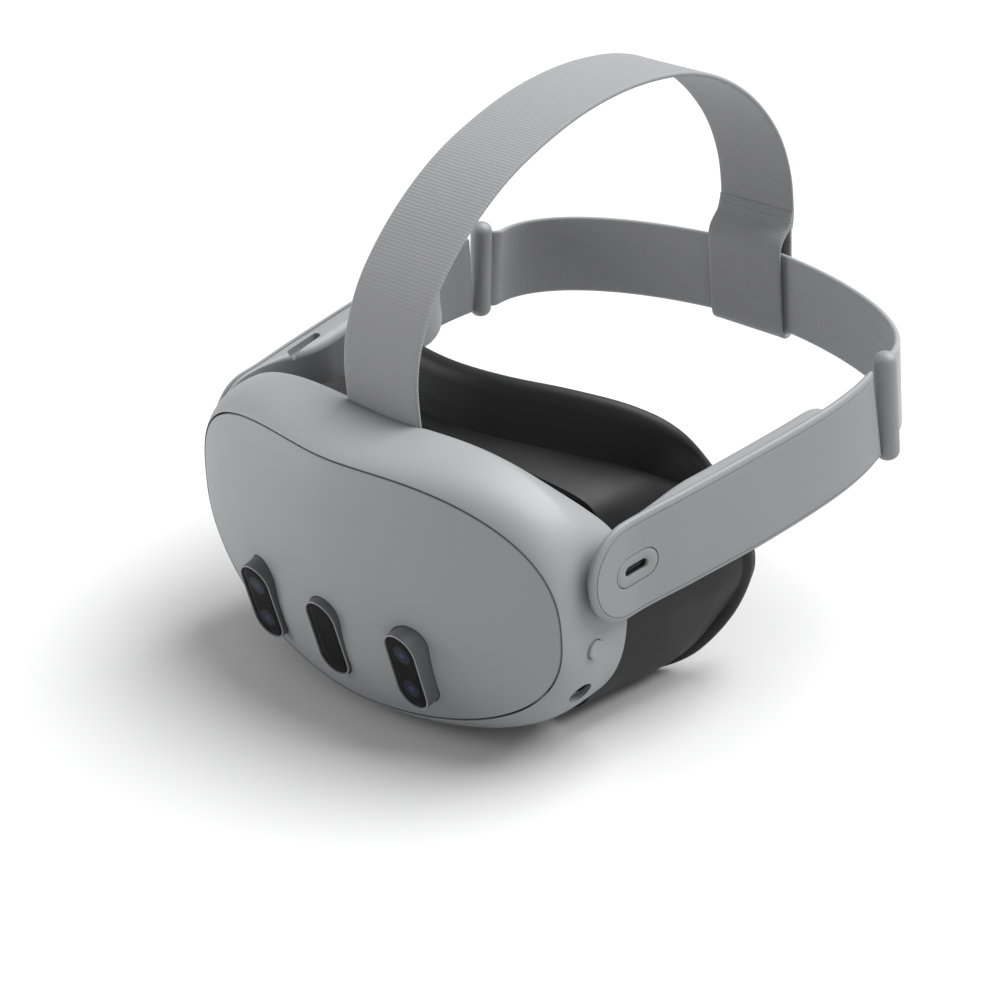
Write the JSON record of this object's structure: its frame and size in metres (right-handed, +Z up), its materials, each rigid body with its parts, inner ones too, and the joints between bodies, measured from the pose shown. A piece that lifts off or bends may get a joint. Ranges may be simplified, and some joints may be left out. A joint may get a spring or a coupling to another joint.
{
  "type": "head-worn display",
  "caption": "Head-worn display with a rounded visor, camera windows, soft facial interface, tilting side arms, rear band and a top strap.",
  "frame": {"origin": "bottom centre of the whole part's bounding box, on the surface it rests on", "axes": "+X is the wearer's left, -Y is the way the visor faces, +Z is up"},
  "size_m": [0.1962, 0.2188, 0.1875],
  "materials": {
    "grey_plastic": "satin light grey",
    "black_plastic": "fine matte black",
    "dark_glass": "polished near-black window",
    "lens_glass": "clear polished",
    "rubber": "soft satin charcoal",
    "strap_fabric": "woven light grey webbing",
    "steel": "machined",
    "aluminium": "satin",
    "brass": "plated",
    "circuit_board": "solder mask green"
  },
  "bodies": {
    "visor": {"audio_socket": "black_plastic", "battery_pack": "black_plastic", "charging_contacts": "brass", "chassis": "aluminium", "depth_projector": "black_plastic", "fan_housing": "black_plastic", "front_cover": "grey_plastic", "heat_sink": "aluminium", "left_arm_pivot": "steel", "left_camera_bezel": "grey_plastic", "left_camera_window": "dark_glass", "left_chassis_screw": "steel", "left_colour_camera": "black_plastic", "left_side_camera": "dark_glass", "left_tracking_camera": "black_plastic", "lower_guide_rod": "steel", "main_housing": "grey_plastic", "mainboard": "circuit_board", "middle_camera_bezel": "grey_plastic", "middle_camera_window": "dark_glass", "proximity_sensor": "dark_glass", "rear_cover": "black_plastic", "right_arm_pivot": "steel", "right_camera_bezel": "grey_plastic", "right_camera_window": "dark_glass", "right_chassis_screw": "steel", "right_colour_camera": "black_plastic", "right_side_camera": "dark_glass", "right_tracking_camera": "black_plastic", "strap_anchor": "steel", "upper_guide_rod": "steel"},
    "power_button": {"power_button": "grey_plastic"},
    "volume_rocker": {"volume_rocker": "grey_plastic"},
    "fan": {"fan_impeller": "black_plastic"},
    "left_optics": {"left_display": "dark_glass", "left_lens_barrel": "black_plastic", "left_lens": "lens_glass", "left_rack": "black_plastic"},
    "right_optics": {"right_display": "dark_glass", "right_lens_barrel": "black_plastic", "right_lens": "lens_glass", "right_rack": "black_plastic"},
    "ipd_wheel": {"ipd_wheel": "black_plastic"},
    "ipd_idler": {"ipd_idler": "black_plastic"},
    "left_arm": {"left_arm_plate": "grey_plastic", "left_speaker_housing": "grey_plastic", "left_speaker": "black_plastic", "left_strap_bar": "grey_plastic", "charging_port": "grey_plastic", "rear_band": "strap_fabric", "strap_loop": "strap_fabric", "top_strap": "strap_fabric"},
    "right_arm": {"right_arm_plate": "grey_plastic", "right_speaker_housing": "grey_plastic", "right_speaker": "black_plastic", "right_strap_bar": "grey_plastic"},
    "interface": {"interface_frame": "black_plastic", "face_cushion": "rubber"},
    "left_depth_button": {"left_depth_button": "black_plastic"},
    "right_depth_button": {"right_depth_button": "black_plastic"}
  },
  "joints": [
    {"name": "left_arm_tilt", "type": "hinge", "parent": "visor", "child": "left_arm", "pos_m": [0.0866, -0.0603, 0.06792], "axis": [1, 0, 0], "range_deg": [-12, 25], "deforming": ["top_strap"]},
    {"name": "right_arm_tilt", "type": "hinge", "parent": "visor", "child": "right_arm", "pos_m": [-0.0866, -0.0603, 0.06792], "axis": [1, 0, 0], "range_deg": [-12, 25]},
    {"name": "interface_depth", "type": "slide", "parent": "visor", "child": "interface", "axis": [0, 1, 0], "range_m": [0, 0.009]},
    {"name": "left_optics_slide", "type": "slide", "parent": "visor", "child": "left_optics", "axis": [1, 0, 0], "range_m": [-0.00325, 0.00325]},
    {"name": "right_optics_slide", "type": "slide", "parent": "visor", "child": "right_optics", "axis": [1, 0, 0], "range_m": [-0.00325, 0.00325]},
    {"name": "ipd_wheel_turn", "type": "hinge", "parent": "visor", "child": "ipd_wheel", "pos_m": [0.02827, -0.0662, 0.01442], "axis": [0, 1, 0], "range_deg": [-46.6, 46.6]},
    {"name": "ipd_idler_turn", "type": "hinge", "parent": "visor", "child": "ipd_idler", "pos_m": [0, -0.069, 0.01442], "axis": [0, 1, 0], "range_deg": [-46.6, 46.6]},
    {"name": "power_press", "type": "slide", "parent": "visor", "child": "power_button", "axis": [-1, 0, 0], "range_m": [0, 0.0007], "stiffness_N_per_m": 600},
    {"name": "volume_rock", "type": "hinge", "parent": "visor", "child": "volume_rocker", "pos_m": [-0.034, -0.0728, 0.00182], "axis": [0, 1, 0], "range_deg": [-1.5, 1.5], "stiffness_Nm_per_rad": 0.6},
    {"name": "fan_spin", "type": "hinge", "parent": "visor", "child": "fan", "pos_m": [0, -0.0843, 0.07042], "axis": [0, 1, 0], "continuous": true},
    {"name": "left_depth_press", "type": "slide", "parent": "interface", "child": "left_depth_button", "axis": [1, 0, 0], "range_m": [0, 0.0012], "stiffness_N_per_m": 400},
    {"name": "right_depth_press", "type": "slide", "parent": "interface", "child": "right_depth_button", "axis": [-1, 0, 0], "range_m": [0, 0.0012], "stiffness_N_per_m": 400}
  ],
  "couplings": [
    {"joint": "right_arm_tilt", "follows": "left_arm_tilt", "ratio": 1},
    {"joint": "right_optics_slide", "follows": "left_optics_slide", "ratio": -1},
    {"joint": "ipd_wheel_turn", "follows": "left_optics_slide", "rad_per_m": 250},
    {"joint": "ipd_idler_turn", "follows": "left_optics_slide", "rad_per_m": 250}
  ]
}
